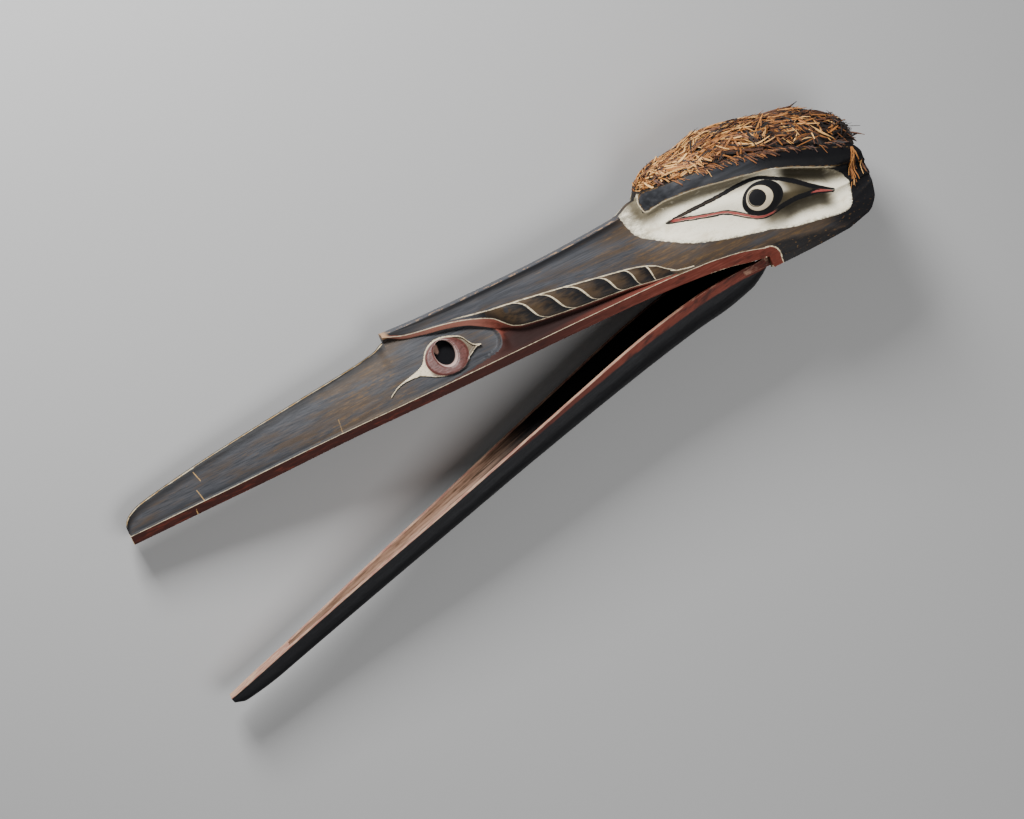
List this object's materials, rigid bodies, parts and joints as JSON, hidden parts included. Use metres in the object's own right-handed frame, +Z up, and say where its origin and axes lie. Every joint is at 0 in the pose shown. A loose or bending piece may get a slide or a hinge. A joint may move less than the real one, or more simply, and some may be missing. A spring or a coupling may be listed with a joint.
{
  "type": "long-beaked bird mask",
  "caption": "Carved and painted wooden mask of a long-beaked bird, with a hinged lower beak and a crest of shredded bark, lying on its side with the beak open.",
  "frame": {"origin": "centre of the mask's bounding box, on the surface that it lies on", "axes": "+X towards the back of the head, with the tips of the beak at -X, +Y towards the crown, +Z up, on the mask's left side as it lies on its right side"},
  "size_m": [1.4758, 0.5694, 0.2055],
  "materials": {
    "graphite_paint": "carved cedar under worn graphite black, white and brick red paint",
    "brick_red_paint": "carved cedar under worn black and brick red paint, bare along the rim",
    "shredded_bark": "dry shredded cedar bark, orange tan to dark brown"
  },
  "bodies": {
    "head": {"head_and_upper_beak": "graphite_paint", "bark_crest": "shredded_bark"},
    "jaw": {"lower_beak": "brick_red_paint"}
  },
  "joints": [
    {"name": "lower_beak_hinge", "type": "hinge", "parent": "head", "child": "jaw", "pos_m": [0.49749, 0.034, 0.10168], "axis": [-0.0503, 0.042, 0.9979], "range_deg": [-14.8, 10]}
  ]
}
